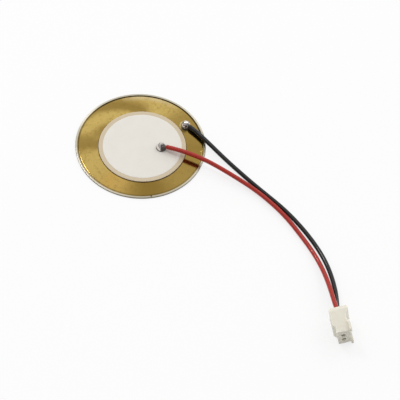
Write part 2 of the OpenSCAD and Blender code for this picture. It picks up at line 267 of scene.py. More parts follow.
class StageSettings(bpy.types.PropertyGroup):
    camera_place: position("Camera place", "Where it stands", (0.01723, -0.26356, 0.34971))
    camera_pitch: angle("Camera pitch", "How far the camera looks down", 54.71)
    camera_roll: angle("Camera roll", "How far the camera turns about its line of sight", 5.27)
    camera_field: angle("Camera field", "Field of view", 14)
    floor_size: length("Floor size", "Side of the floor", 4000)
    floor_gap: length("Floor gap", "How far the floor stays under the part", 0.02)
    floor: colour("Floor", "Colour of the floor", 246, 246, 246)
    key_place: position("Key place", "Where the key lamp stands", (-0.34, 0.27, 0.6))
    key_size: length("Key size", "Side of the key lamp", 140)
    key_energy: number("Key energy", "Power of the key lamp, in watts", 0.9)
    side_place: position("Side place", "Where the side lamp stands", (0.34, 0.42, 0.5))
    side_size: length("Side size", "Side of the side lamp", 160)
    side_energy: number("Side energy", "Power of the side lamp, in watts", 0.35)


class PiezoDiscSettings(bpy.types.PropertyGroup):
    diaphragm: PointerProperty(type=DiaphragmSettings)
    ceramic: PointerProperty(type=CeramicSettings)
    solder: PointerProperty(type=SolderSettings)
    leads: PointerProperty(type=LeadSettings)
    connector: PointerProperty(type=ConnectorSettings)
    stage: PointerProperty(type=StageSettings)


def groove_span(settings):
    """The inner and outer radius of the groove inside the diaphragm's rim, in millimetres."""
    _, radius, _ = node_disc("brass_plate")
    inner = radius - (settings.rim_width + settings.groove_width / 2) / MM
    return inner, inner + settings.groove_width / MM


# ------------------------------ materials


class Value:
    """A socket whose maths is written with Python's operators."""

    def __init__(self, tree, socket):
        self.tree = tree
        self.socket = socket

    def maths(self, operation, *others):
        node = self.tree.nodes.new("ShaderNodeMath")
        node.operation = operation
        for entry, value in zip(node.inputs, others):
            connect(self.tree, entry, value)
        return Value(self.tree, node.outputs[0])

    def __add__(self, other):
        return self.maths("ADD", self, other)

    def __radd__(self, other):
        return self.maths("ADD", other, self)

    def __sub__(self, other):
        return self.maths("SUBTRACT", self, other)

    def __rsub__(self, other):
        return self.maths("SUBTRACT", other, self)

    def __mul__(self, other):
        return self.maths("MULTIPLY", self, other)

    def __rmul__(self, other):
        return self.maths("MULTIPLY", other, self)

    def __pow__(self, other):
        return self.maths("POWER", self, other)

    def least(self, other):
        return self.maths("MINIMUM", self, other)

    def most(self, other):
        return self.maths("MAXIMUM", self, other)


def connect(tree, entry, value):
    """Sets a socket to a number or colour, or links it."""
    if isinstance(value, Value):
        tree.links.new(value.socket, entry)
    else:
        entry.default_value = value


class Nodes:
    """Adds nodes to one tree."""

    def __init__(self, tree):
        self.tree = tree

    def add(self, kind, values=None, output=0, stops=(), **settings):
        """A node of a type, with its settings and the grey stops of its ramp, then the values or
        links of its sockets."""
        node = self.tree.nodes.new(kind)
        for name, value in settings.items():
            setattr(node, name, value)
        if stops:
            elements = node.color_ramp.elements
            while len(elements) > 1:
                elements.remove(elements[-1])
            for i, (place, grey) in enumerate(stops):
                stop = elements.new(place) if i else elements[0]
                stop.position = place
                stop.color = (grey, grey, grey, 1)
        for name, value in (values or {}).items():
            connect(self.tree, node.inputs[name], value)
        return Value(self.tree, node.outputs[output])

    def outputs(self, value, *names):
        """Other outputs of the node that a value comes from."""
        return [Value(self.tree, value.socket.node.outputs[name]) for name in names]

    def rays(self, *kinds):
        """For each of some kinds of ray, 1 where the ray is of that kind."""
        path = self.add("ShaderNodeLightPath")
        return self.outputs(path, *[f"Is {kind} Ray" for kind in kinds])

    def place(self, stretch=(1, 1, 1)):
        """Object coordinates in millimetres, each multiplied by its share of a stretch."""
        coordinates = self.add("ShaderNodeTexCoord", output="Object")
        scale = [share / MM for share in stretch]
        return self.add("ShaderNodeMapping", {"Vector": coordinates, "Scale": scale})

    def split(self, vector):
        """The three parts of a vector."""
        return self.outputs(self.add("ShaderNodeSeparateXYZ", {"Vector": vector}), "X", "Y", "Z")

    def distance(self, place, point):
        """How far a place is from a point of the XY plane, across that plane."""
        x, y, _ = self.split(place)
        across, along = x - point[0], y - point[1]
        return (across * across + along * along) ** 0.5

    def noise(self, vector, scale, detail=3.0, roughness=0.5):
        return self.add(
            "ShaderNodeTexNoise",
            {"Vector": vector, "Scale": scale, "Detail": detail, "Roughness": roughness},
        )

    def ramp(self, value, stops, interpolation):
        """A grey that follows stops of (value, grey)."""
        grey = self.add("ShaderNodeValToRGB", {"Fac": value}, stops=stops)
        grey.socket.node.color_ramp.interpolation = interpolation
        return grey

    def between(self, value, low, high):
        """A value's place between low and high, smoothed, from 0 to 1."""
        return self.add(
            "ShaderNodeMapRange",
            {"Value": value, "From Min": low, "From Max": high},
            interpolation_type="SMOOTHSTEP",
        )

    def band(self, value, begins, full, fades, ends):
        """1 from the second to the third of four levels of a value, and 0 beyond the others."""
        return self.between(value, begins, full) * (1 - self.between(value, fades, ends))

    def spot(self, place, point, inner, outer):
        """1 within a distance of a point of the XY plane, falling to 0 at a further one."""
        return 1 - self.between(self.distance(place, point), inner, outer)

    def mix(self, share, first, second):
        """Two colours mixed."""
        sockets = {0: share, 6: first, 7: second}
        return self.add("ShaderNodeMix", sockets, output=2, data_type="RGBA")

    def layered(self, base, *layers):
        """A colour with others laid over it in turn, each given as its strength, its mask and its
        shade."""
        for strength, mask, shade in layers:
            base = self.mix(mask * strength, base, shade)
        return base

    def bump(self, height, strength, distance):
        """A normal that follows a height, whose distance is in millimetres."""
        return self.add(
            "ShaderNodeBump", {"Height": height, "Strength": strength, "Distance": distance * MM}
        )


class Finish(Nodes):
    """A material made round one Principled shader."""

    def __init__(self, name, **constants):
        self.material = bpy.data.materials.new(name)
        self.material.use_nodes = True
        super().__init__(self.material.node_tree)
        self.shader = self.tree.nodes["Principled BSDF"]
        self.feed(**constants)

    def feed(self, **values):
        """Gives the shader's sockets their values and returns the material; a socket's spaces are
        written as underscores."""
        for name, value in values.items():
            connect(self.tree, self.shader.inputs[name.replace("_", " ")], value)
        return self.material


# The painted light on the brass: how bright the sheet's painted reflection is, where a painted
# warm reflection tints it, how bright the painted reflection on its rim is and how dark the
# painted shade in its groove is. These and the next stretches go by place round the ring, as a
# share of a turn from the -X side through -Y
BRASS_REFLECTION_TONES = [
    (0.0, 0.25), (0.03, 0.25), (0.055, 0.85), (0.14, 0.82), (0.167, 0.68), (0.195, 0.74),
    (0.222, 0.4), (0.25, 0.14), (0.28, 0.0), (0.306, 0.0), (0.333, 0.14), (0.36, 0.3),
    (0.417, 0.3), (0.5, 0.14), (0.53, 0.2), (0.61, 0.3), (0.64, 0.45), (0.667, 0.85),
    (0.695, 0.95), (0.722, 1.0), (0.75, 0.78), (0.778, 0.45), (0.806, 0.2), (0.833, 0.18),
    (0.86, 0.28), (0.89, 0.85), (0.92, 1.0), (0.945, 1.0), (0.97, 0.8), (1.0, 0.25),
]
# Where a painted warm reflection tints the sheet
BRASS_WARM_REFLECTION = [(0.0, 0.0), (0.13, 0.0), (0.17, 0.8), (0.2, 0.5), (0.26, 0.0), (1.0, 0.0)]
# How pale the painted reflection on the rim is round the ring
RIM_REFLECTION_TONES = [
    (0.0, 0.5), (0.06, 0.55), (0.17, 0.63), (0.22, 0.55), (0.25, 0.45), (0.28, 0.42),
    (0.33, 0.49), (0.39, 0.58), (0.42, 0.63), (0.47, 0.45), (0.5, 0.3), (0.54, 0.4), (0.58, 0.75),
    (0.62, 0.72), (0.67, 0.6), (0.75, 0.5), (0.81, 0.5), (0.86, 0.6), (0.92, 0.95), (0.945, 0.85),
    (0.97, 0.55), (1.0, 0.5),
]
# Painted shade in the groove, darkest on the far side
GROOVE_SHADE_TONES = [
    (0.0, 0.6), (0.06, 0.6), (0.17, 0.45), (0.25, 0.3), (0.45, 0.25), (0.5, 0.4), (0.54, 1.0),
    (0.86, 1.0), (0.92, 0.6), (1.0, 0.6),
]

# The stretch where the painted reflection's tones slant across the ring, by how much of a turn
# for each millimetre outward, how much they waver, and the stretch with a painted pale highlight
# on its outer part
SLANTED, SLANT, WAVER = (0.7, 0.78, 0.93, 1.0), 0.024, 0.03
PALE_HIGHLIGHT = (0.64, 0.72, 0.77, 0.83)

# The marks on the brass, in millimetres: the ring of flux with its painted highlight by its
# distances from the joint, the stain with its painted shadow from the joint, and a dark speck and
# a pale chip from the disc's middle
FLUX_AND_SHEEN_RING = (1.4, 1.5, 1.6, 1.9)
STAIN_AND_SHADOW = Vector((-0.5, -1.5))
SPECK = (4.4, -16.5)
CHIP = (16.2, -0.4)


def sheet_layers(finish, settings, place, around, turn, plate_radius):
    """The layers of the rolled sheet: a painted warm reflection, a painted pale highlight on one
    stretch, and its real streaks and mottle.
    """
    outer = finish.between(
        finish.distance(place, (0, 0)), plate_radius - 2.7, plate_radius - 1.3
    )
    drawn = finish.place(stretch=(6, 0.8, 1))
    streaks = finish.noise(drawn, scale=1.0, detail=4.0, roughness=0.6)
    mottle = finish.noise(place, scale=1.0, detail=3.0, roughness=0.65)
    return [
        # Painted warm reflection on one stretch of the sheet
        (0.7, finish.ramp(turn, BRASS_WARM_REFLECTION, "EASE"), settings.warm_reflection),
        # Painted pale highlight on the outer part of one stretch
        (0.22, finish.band(around, *PALE_HIGHLIGHT) * outer, settings.pale_reflection),
        (0.16, finish.between(streaks, 0.35, 0.75), settings.dark),
        (0.35, finish.between(mottle, 0.48, 0.7), settings.dark),
    ]


def soldering_layers(finish, settings, place):
    """The layers that soldering left, with painted light: a broken ring of flux with a painted
    highlight, fuller on the upper-left side where that highlight falls, and a stain with a painted
    shadow.
    """
    x, y, _ = finish.split(place)
    # The upper-left side, where the flux ring's painted highlight falls
    side = y - BLACK_JOINT.y - (x - BLACK_JOINT.x) + finish.noise(place, scale=1.2)
    broken = finish.between(finish.noise(place, scale=2.4, detail=2.0), 0.42, 0.58)
    flux_and_sheen = finish.band(finish.distance(place, BLACK_JOINT), *FLUX_AND_SHEEN_RING) * broken
    return [
        # Flux with a painted highlight, fuller on its upper-left side
        (0.8, flux_and_sheen * finish.between(side, -0.5, 1.5), settings.flux_and_sheen),
        # A stain with a painted shadow in front of the joint
        (0.6, finish.spot(place, BLACK_JOINT + STAIN_AND_SHADOW, 0.5, 1.4), settings.tarnish_and_shade),
    ]


def brass_finish(settings):
    """Rolled brass sheet: satin, with a painted reflection in bright and dull stretches round the
    ring and on the rim, painted shade in the groove and under the rim, and a few marks, among
    them a flux ring with a painted highlight and a stain with a painted shadow."""
    finish = Finish("rolled_brass", Metallic=1.0)
    place = finish.place()
    _, _, z = finish.split(place)
    _, plate_radius, thickness = node_disc("brass_plate")
    groove_in, groove_out = groove_span(settings)
    radius = finish.distance(place, (0, 0))
    around = finish.add(
        "ShaderNodeTexGradient", {"Vector": place}, output="Fac", gradient_type="RADIAL"
    )
    slant = (radius - (plate_radius - 3)) * finish.band(around, *SLANTED) * SLANT
    turn = around - slant + (finish.noise(place, scale=0.35, detail=2.0) - 0.5) * WAVER
    grain = finish.noise(place, scale=7.0, detail=4.0, roughness=0.65)

    # The rim, and how pale its painted reflection is round the ring
    on_rim = finish.between(radius, groove_out + 0.03, groove_out + 0.18)
    pale_reflection = finish.ramp(around, RIM_REFLECTION_TONES, "EASE")
    # The groove, and the painted shade in it, patchy and changing round the ring
    in_groove = finish.band(
        radius, groove_in - 0.13, groove_in + 0.05, groove_out + 0.03, groove_out + 0.2
    )
    patchy = (finish.noise(place, scale=0.9, detail=2.0) - 0.5) * 0.5
    groove_shade = (finish.ramp(around, GROOVE_SHADE_TONES, "EASE") + patchy).most(0).least(1)
    # Painted contact shade along the lower wall of the rim
    under_rim = 1 - finish.between(z, thickness - 0.16, thickness - 0.07)
    edge_shade = under_rim * finish.between(radius, plate_radius - 0.2, plate_radius - 0.1)
    chipped = finish.between(finish.noise(place, scale=4.0), 0.4, 0.55)

    return finish.feed(
        Base_Color=finish.layered(
            # The base is a painted reflection: bright and dull stretches round the ring
            finish.mix(finish.ramp(turn, BRASS_REFLECTION_TONES, "CARDINAL"), settings.dark, settings.light),
            *sheet_layers(finish, settings, place, around, turn, plate_radius),
            (0.3, finish.between(grain, 0.52, 0.8), settings.tarnish_and_shade),
            *soldering_layers(finish, settings, place),
            # Painted reflection on the rim, pale and dark by place round the ring
            (1, on_rim, finish.mix(pale_reflection, settings.dull, settings.pale_reflection)),
            # Painted shade in the groove
            (1, in_groove * groove_shade, settings.tarnish_and_shade),
            # Painted contact shade on the rim's lower wall
            (1, edge_shade, settings.cut),
            (0.9, finish.spot(place, SPECK, 0.15, 0.3), settings.tarnish_and_shade),
            (1, finish.spot(place, CHIP, 0.05, 0.4) * chipped, settings.chip),
        ),
        Roughness=0.12 + grain * 0.06 + on_rim * 0.15,
        Normal=finish.bump(grain, strength=0.1, distance=0.01),
    )


def ceramic_finish(settings):
    """Fired ceramic: matt, faintly speckled."""
    finish = Finish("fired_ceramic", Roughness=0.6)
    speckle = finish.noise(finish.place(), scale=6.0, detail=5.0, roughness=0.6)
    speckled = finish.between(speckle, 0.35, 0.7)
    return finish.feed(
        Base_Color=finish.layered(settings.ceramic, (0.35, speckled, settings.speckle)),
        Normal=finish.bump(speckle, strength=0.25, distance=0.02),
    )


def silver_finish(settings):
    """Fired silver print: matt and pale, with the faint marks of the printing screen."""
    finish = Finish("silver_print", Roughness=0.5)
    place = finish.place()
    cloud = finish.noise(place, scale=0.3)
    grit = finish.noise(place, scale=14.0, roughness=0.6)
    return finish.feed(
        Base_Color=finish.layered(
            settings.silver,
            (0.5, cloud, settings.cloud),
            (0.15, finish.between(grit, 0.5, 0.75), settings.grit),
        ),
        Normal=finish.bump(grit, strength=0.2, distance=0.01),
    )


def adhesive_finish(settings):
    """Cured adhesive squeezed out round the ceramic."""
    finish = Finish("cured_adhesive", Roughness=0.25)
    shade = finish.noise(finish.place(), scale=3.0, detail=2.0)
    return finish.feed(
        Base_Color=finish.layered(settings.adhesive, (0.5, shade, settings.thick))
    )


def solder_finish(name, settings, foot, reflection_spot):
    """Bright solder with patches of painted dark reflection, dark round its foot with flux and
    painted shade, and with a spot of painted dark reflection about one place."""
    finish = Finish(name)
    place = finish.place()
    _, _, z = finish.split(place)
    frost = finish.noise(place, scale=2.2)
    # Patches of painted dark reflection
    patches = finish.between(finish.noise(place, scale=1.1, detail=2.0), 0.55, 0.62)
    # Darker towards the foot: flux, and painted shade under the dome
    low = 1 - finish.between(z + (frost - 0.5) * 0.3, foot + 0.1, foot + 0.5)
    # A spot of painted dark reflection
    dark_reflection_spot = finish.spot(place, reflection_spot, 0.45, 1.1) * finish.between(frost, 0.3, 0.45)
    dark = (patches * 0.8 + low + dark_reflection_spot).least(0.95)
    return finish.feed(
        Base_Color=finish.mix(dark, settings.solder, settings.oxide_and_dark_reflection),
        Metallic=1 - dark,
        Roughness=0.07 + finish.between(frost, 0.4, 0.8) * 0.12 + low * 0.2,
        Normal=finish.bump(frost, strength=0.3, distance=0.05),
    )


def metal_finish(name, shade, dull, roughness):
    """A plated metal with faint marks."""
    finish = Finish(name, Metallic=1.0)
    marks = finish.noise(finish.place(), scale=5.0, detail=4.0, roughness=0.6)
    return finish.feed(
        Base_Color=finish.layered(shade, (0.6, marks, dull)),
        Roughness=roughness + marks * 0.15,
        Normal=finish.bump(marks, strength=0.15, distance=0.01),
    )


def insulation_finish(name, shade, dull):
    """Soft glossy insulation with faint extrusion marks and handling dust."""
    finish = Finish(
        name, Coat_Weight=0.65, Coat_Roughness=0.07, Coat_IOR=1.5, Specular_IOR_Level=0.22
    )
    place = finish.place()
    marks = finish.noise(place, scale=1.6, detail=4.0, roughness=0.6)
    fine = finish.noise(place, scale=18.0, detail=2.0)
    return finish.feed(
        Base_Color=finish.layered(shade, (0.3, finish.between(marks, 0.4, 0.8), dull)),
        Roughness=0.3 + marks * 0.1,
        Normal=finish.bump(marks + fine * 0.3, strength=0.2, distance=0.02),
    )


def nylon_finish(settings):
    """Moulded nylon: satin and slightly cloudy."""
    finish = Finish(
        "moulded_nylon",
        Subsurface_Weight=0.35,
        Subsurface_Radius=(1.0, 1.0, 1.0),
        Subsurface_Scale=0.5 * MM,
    )
    place = finish.place()
    cloud = finish.noise(place, scale=0.6)
    grain = finish.noise(place, scale=12.0)
    return finish.feed(
        Base_Color=finish.layered(settings.nylon, (0.4, cloud, settings.cloud)),
        Roughness=0.38 + grain * 0.12,
        Normal=finish.bump(grain, strength=0.15, distance=0.01),
    )


# ------------------------------ mesh work

# Copies of CAD nodes: how near in millimetres two points are one, and the angle in degrees up to
# which two triangles are one face
WELD, FLAT = 0.002, 1


def arc(centre, radius, start, stop, steps):
    """Points on an arc, as (radius, height), from one angle in degrees to another."""
    turns = [math.radians(start + (stop - start) * i / steps) for i in range(steps + 1)]
    return [
        (centre[0] + radius * math.cos(turn), centre[1] + radius * math.sin(turn))
        for turn in turns
    ]


def turned(outline, steps):
    """An outline of (radius, height) points spun a full turn about Z."""
    bm = bmesh.new()
    points = [bm.verts.new((r, 0, z)) for r, z in outline]
    edges = [bm.edges.new(pair) for pair in zip(points, points[1:])]
    bmesh.ops.spin(
        bm,
        geom=points + edges,
        axis=(0, 0, 1),
        cent=(0, 0, 0),
        angle=math.tau,
        steps=steps,
        use_merge=True,
    )
    bmesh.ops.remove_doubles(bm, verts=bm.verts, dist=1e-4)
    bmesh.ops.recalc_face_normals(bm, faces=bm.faces)
    return bm


def only_edges(geometry):
    """The edges among an operator's results."""
    return [item for item in geometry if isinstance(item, bmesh.types.BMEdge)]


def facing(way):
    """The turn that brings Z to a direction."""
    return way.to_track_quat("Z", "Y").to_matrix().to_4x4()


def as_mesh(name, bm):
    """Ends the work on a bmesh and keeps it as a mesh."""
    mesh = bpy.data.meshes.new(name)
    bm.to_mesh(mesh)
    bm.free()
    return mesh


def put(name, data):
    """A new object in the scene."""
    thing = bpy.data.objects.new(name, data)
    bpy.context.scene.collection.objects.link(thing)
    return thing


def melted(bm, voxel):
    """Joins overlapping closed shapes into one and softens where they meet."""
    mesh = as_mesh("melt", bm)
    holder = put("melt", mesh)
    remesh = holder.modifiers.new("remesh", "REMESH")
    remesh.mode = "VOXEL"
    remesh.voxel_size = voxel
    soften = holder.modifiers.new("soften", "SMOOTH")
    soften.factor = 0.5
    soften.iterations = 12
    shaped = bpy.data.meshes.new_from_object(
        holder.evaluated_get(bpy.context.evaluated_depsgraph_get())
    )
    bm = bmesh.new()
    bm.from_mesh(shaped)
    bpy.data.objects.remove(holder)
    bpy.data.meshes.remove(mesh)
    bpy.data.meshes.remove(shaped)
    return bm


def node_copy(node):
    """A CAD node's mesh in millimetres, with its triangles joined into whole faces."""
    bm = bmesh.new()
    bm.from_mesh(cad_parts[node].data)
    bmesh.ops.scale(bm, vec=(1 / MM, 1 / MM, 1 / MM), verts=bm.verts)
    bmesh.ops.remove_doubles(bm, verts=bm.verts, dist=WELD)
    bmesh.ops.dissolve_limit(
        bm, angle_limit=math.radians(FLAT), verts=bm.verts, edges=bm.edges
    )
    return bm


def bevelled(bm, width, segments, least_angle, clamp=True):
    """Rounds the edges that turn by more than an angle in degrees."""
    least = math.radians(least_angle)
    edges = [edge for edge in bm.edges if edge.is_manifold and edge.calc_face_angle(0) > least]
    bmesh.ops.bevel(
        bm,
        geom=edges,
        offset=width,
        segments=segments,
        profile=0.5,
        affect="EDGES",
        material=-1,
        clamp_overlap=clamp,
    )
    return bm


def finish_piece(name, bm, material, replaces, sharp=35, level=False):
    """Brings a piece to metres, puts it in the scene, and lets it ride on the body. Its edges stay
    sharp from an angle in degrees, and its shading may be levelled by the size of its faces."""
    bmesh.ops.scale(bm, vec=(MM, MM, MM), verts=bm.verts)
    for face in bm.faces:
        face.smooth = True
    mesh = as_mesh(name, bm)
    mesh.set_sharp_from_angle(angle=math.radians(sharp))
    mesh.materials.append(material)
    piece = put(name, mesh)
    if level:
        weigh = piece.modifiers.new("level", "WEIGHTED_NORMAL")
        weigh.keep_sharp = True
    set_piece(piece, replaces)


def set_piece(piece, replaces):
    """Lets a piece ride on the body and hides the CAD nodes it stands for."""
    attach(piece, BODY)
    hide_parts(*replaces)


# ------------------------------ operators


class PIEZO_OT_diaphragm(bpy.types.Operator):
    """Turns the brass diaphragm with its grooved and rolled rim"""

    bl_idname = "piezo.diaphragm"
    bl_label = "Brass diaphragm"

    def execute(self, context):
        settings = context.scene.piezo_disc.diaphragm
        _, radius, thickness = node_disc("brass_plate")
        groove_in, groove_out = groove_span(settings)
        low = settings.edge_round / MM
        shoulder = settings.shoulder / MM
        crown = settings.crown / MM
        top = thickness + settings.rim_rise / MM
        floor = thickness - settings.groove_depth / MM
        lip = thickness - settings.groove_depth * 0.3 / MM
        shoulder_centre = thickness - shoulder - settings.shoulder_drop / MM
        outline = [(0, 0), (radius - 2.5, 0), (radius - 0.6, 0)]
        outline += arc((radius - low, low), low, -90, 0, steps=4)
        outline += arc((radius - shoulder, shoulder_centre), shoulder, 0, 45, steps=4)
        outline += arc((radius - crown, top - crown), crown, 50, 90, steps=4)
        outline += [
            (groove_out + 0.1, top),
            (groove_out + 0.04, thickness),
            (groove_out, lip),
            (groove_out - 0.06, floor),
            (groove_in + 0.06, floor),
            (groove_in + 0.01, lip),
            (groove_in - 0.03, thickness),
            (groove_in - 0.08, thickness),
            (radius * 0.85, thickness),
            (radius * 0.6, thickness),
            (0, thickness),
        ]
        finish_piece(
            "brass_diaphragm",
            turned(outline, steps=256),
            brass_finish(settings),
            ["brass_plate"],
            sharp=50,
        )
        return {"FINISHED"}


# How much the adhesive's bead swells as a share of its radius, and how fine, in waves for each
# millimetre, the unevenness of the bead, the ceramic and the prints is
SWELL = 0.006
BEAD_WAVES, CERAMIC_WAVES, PRINT_WAVES = 0.9, 2.2, 3.0


class PIEZO_OT_ceramic(bpy.types.Operator):
    """Makes the adhesive, the ceramic and its two silver prints"""

    bl_idname = "piezo.ceramic"
    bl_label = "Ceramic and prints"

    def execute(self, context):
        settings = context.scene.piezo_disc.ceramic
        self.adhesive(settings)
        self.ceramic(settings)
        silver = silver_finish(settings)
        self.silver_print(settings, "silver_top_print", "silver_electrode", silver)
        self.silver_print(settings, "silver_rear_print", "rear_electrode", silver)
        return {"FINISHED"}

    def adhesive(self, settings):
        """The film under the ceramic and the bead that it squeezes out, which swells unevenly."""
        centre, radius, _ = node_disc("adhesive_film")
        ceramic_centre, ceramic_radius, _ = node_disc("ceramic_disc")
        level = ceramic_centre.z - centre.z
        bead = ceramic_radius + settings.bead_width / MM
        climb = level + settings.bead_height / MM
        outline = [(0, 0), (radius, 0), (radius - 0.03, 0.03), (bead, level + 0.03)]
        outline += [(ceramic_radius - 0.01, climb), (ceramic_radius - 0.02, level), (0, level)]
        bm = turned(outline, steps=192)
        for v in bm.verts:
            if v.co.to_2d().length > ceramic_radius - 0.005:
                swell = 1 + SWELL * noise.noise(v.co.to_2d().to_3d() * BEAD_WAVES)
                v.co.x *= swell
                v.co.y *= swell
        bmesh.ops.translate(bm, vec=centre, verts=bm.verts)
        finish_piece("adhesive_bead", bm, adhesive_finish(settings), ["adhesive_film"])

    def ceramic(self, settings):
        """The ceramic, with a softened and slightly uneven edge."""
        centre, radius, thickness = node_disc("ceramic_disc")
        outline = [(0, 0), (radius - 0.02, 0), (radius, 0.03), (radius, thickness - 0.05)]
        outline += [(radius - 0.02, thickness - 0.01), (radius - 0.06, thickness)]
        outline += [(radius - 0.5, thickness), (radius - 1.5, thickness), (0, thickness)]
        bm = turned(outline, steps=256)
        uneven = settings.ceramic_edge / MM
        for v in bm.verts:
            if v.co.to_2d().length > radius - 0.1:
                v.co += v.co.normalized() * uneven * noise.noise(v.co * CERAMIC_WAVES)
        bmesh.ops.translate(bm, vec=centre, verts=bm.verts)
        finish_piece("ceramic", bm, ceramic_finish(settings), ["ceramic_disc"])

    def silver_print(self, settings, name, node, material):
        """A print on the ceramic, thin at its uneven edge."""
        centre, radius, thickness = node_disc(node)
        outline = [(0, 0), (radius, 0), (radius - 0.01, thickness * 0.7)]
        outline += [(radius - 0.05, thickness), (radius - 0.4, thickness), (0, thickness)]
        bm = turned(outline, steps=256)
        uneven = settings.print_edge / MM
        for v in bm.verts:
            if v.co.to_2d().length > radius - 0.1:
                out = v.co.to_2d().normalized() * uneven * noise.noise(v.co * PRINT_WAVES)
                v.co.x += out.x
                v.co.y += out.y
        bmesh.ops.translate(bm, vec=centre, verts=bm.verts)
        finish_piece(name, bm, material, [node])


# How far a joint's shapes reach under the metal before they are cut off there, and the wider and
# the narrower radius of the solder drawn out along the strands, with its share of the bared end
SUNK = 0.2
DRAWN_WIDE, DRAWN_NARROW, DRAWN_SHARE = 0.62, 0.42, 0.92

# How far from a joint's middle the spot of painted dark reflection on the solder lies, back
# along the strands and aside of them
REFLECTION_SPOT_BACK = {"black": 1.2, "red": 0.7}
REFLECTION_SPOT_ASIDE = 0.4

# The broad and fine ripples on the solder, in waves for each millimetre, and the fine ones' share
BROAD_RIPPLES, FINE_RIPPLES, FINE_SHARE = 1.5, 4, 0.4

# A bared end's strands: how many, the turn that they are laid with, and the steps along them
STRANDS, LAY, LAY_STEPS = 7, math.radians(200), 16


class PIEZO_OT_solder(bpy.types.Operator):
    """Makes the two solder joints and the tinned strands that they hold"""

    bl_idname = "piezo.solder"
    bl_label = "Solder joints and strands"

    def execute(self, context):
        settings = context.scene.piezo_disc.solder
        tinned = metal_finish("tinned_strands", settings.tin, settings.tin_dull, roughness=0.25)
        for lead, route in ROUTES.items():
            self.joint(settings, lead, Vector(route[0]), inward(route))
            self.strands(settings, lead, Vector(route[0]), inward(route), tinned)
        return {"FINISHED"}

    def joint(self, settings, lead, start, way):
        """A flared dome of solder and a cone round the strands, melted together and rippled."""
        node = lead + "_solder_joint"
        foot = node_span(node)[0].z
        centre = start + way * BARED
        wide, tall = settings.width / MM / 2, settings.height / MM
        flare = settings.flare / MM
        outline = [(0, -SUNK), (wide + 0.05, -SUNK)]
        for degrees in range(0, 91, 6):
            across, up = math.cos(math.radians(degrees)), math.sin(math.radians(degrees))
            outline.append(((wide - flare) * across + flare * (1 - up) ** 3, tall * up))
        outline[-1] = (0, tall)
        bm = turned(outline, steps=64)
        bmesh.ops.translate(bm, vec=(centre.x, centre.y, foot), verts=bm.verts)
        drawn = BARED * DRAWN_SHARE
        bmesh.ops.create_cone(
            bm,
            cap_ends=True,
            segments=32,
            radius1=DRAWN_WIDE,
            radius2=DRAWN_NARROW,
            depth=drawn,
            matrix=Matrix.Translation(centre - way * drawn / 2) @ facing(-way),
        )
        bm = melted(bm, settings.voxel / MM)
        ripple = settings.ripple / MM
        seed = Vector((3.1, 0, len(lead)))
        for v in bm.verts:
            spot = v.co - centre
            broad = noise.noise(spot * BROAD_RIPPLES + seed)
            fine = noise.noise(spot * FINE_RIPPLES + seed)
            v.co += v.normal * ripple * (broad + FINE_SHARE * fine)
        cut = bmesh.ops.bisect_plane(
            bm,
            geom=bm.verts[:] + bm.edges[:] + bm.faces[:],
            plane_co=(0, 0, foot),
            plane_no=(0, 0, -1),
            clear_outer=True,
        )
        bmesh.ops.edgeloop_fill(bm, edges=only_edges(cut["geom_cut"]))
        bmesh.ops.recalc_face_normals(bm, faces=bm.faces)
        # Where the spot of painted dark reflection lies
        aside = way.cross(Vector((0, 0, 1))) * REFLECTION_SPOT_ASIDE
        reflection_spot = centre - aside - way * REFLECTION_SPOT_BACK[lead]
        material = solder_finish(lead + "_joint_solder", settings, foot, reflection_spot)
        finish_piece(lead + "_solder", bm, material, [node], sharp=60)

    def strands(self, settings, lead, start, way, material):
        """A bared end's tinned strands, laid round the middle one."""
        thick = settings.strand / MM
        aside = Matrix.Translation((thick, 0, 0))
        bm = bmesh.new()
        for i in range(STRANDS):
            ring = bmesh.ops.create_circle(bm, radius=thick / 2, segments=12)["verts"]
            if i:
                turn = Matrix.Rotation(math.tau * i / (STRANDS - 1), 4, "Z")
                bmesh.ops.transform(bm, matrix=turn @ aside, verts=ring)
            rim = list({edge for v in ring for edge in v.link_edges})
            laid = bmesh.ops.spin(
                bm,
                geom=ring + rim,
                axis=(0, 0, 1),
                cent=(0, 0, 0),
                dvec=(0, 0, BARED / LAY_STEPS),
                angle=LAY,
                steps=LAY_STEPS,
            )
            bmesh.ops.edgeloop_fill(bm, edges=rim)
            bmesh.ops.edgeloop_fill(bm, edges=only_edges(laid["geom_last"]))
        bmesh.ops.recalc_face_normals(bm, faces=bm.faces)
        place = Matrix.Translation(start) @ facing(way)
        bmesh.ops.transform(bm, matrix=place, verts=bm.verts)
        name, node = lead + "_strands", lead + "_bared_end"
        finish_piece(name, bm, material, [node], sharp=60)


# The housing's edges up to this length, in millimetres, go before the others are rounded
SHORT_EDGE = 0.15


class PIEZO_OT_connector(bpy.types.Operator):
    """Rounds the moulded housing and dresses the crimp terminals in it"""

    bl_idname = "piezo.connector"
    bl_label = "Connector"

    def execute(self, context):
        settings = context.scene.piezo_disc.connector
        bm = node_copy("connector_housing")
        bmesh.ops.dissolve_degenerate(bm, dist=SHORT_EDGE, edges=bm.edges)
        finish_piece(
            "housing",
            bevelled(bm, settings.bevel / MM, segments=3, least_angle=20, clamp=False),
            nylon_finish(settings),
            ["connector_housing"],
            sharp=60,
            level=True,
        )
        tin = metal_finish("tin_plate", settings.tin, settings.tin_dull, roughness=0.22)
        copper = metal_finish(
            "copper_strands", settings.copper, settings.copper_dull, roughness=0.3
        )
        for lead in ROUTES:
            node = lead + "_crimp_terminal"
            bm = bevelled(node_copy(node), settings.sheet_bevel / MM, segments=1, least_angle=20)
            finish_piece(lead + "_terminal", bm, tin, [node], sharp=40)
            node = lead + "_crimped_strands"
            bm = bevelled(node_copy(node), settings.strand_bevel / MM, segments=2, least_angle=40)
            finish_piece(lead + "_core", bm, copper, [node], sharp=40)
        return {"FINISHED"}


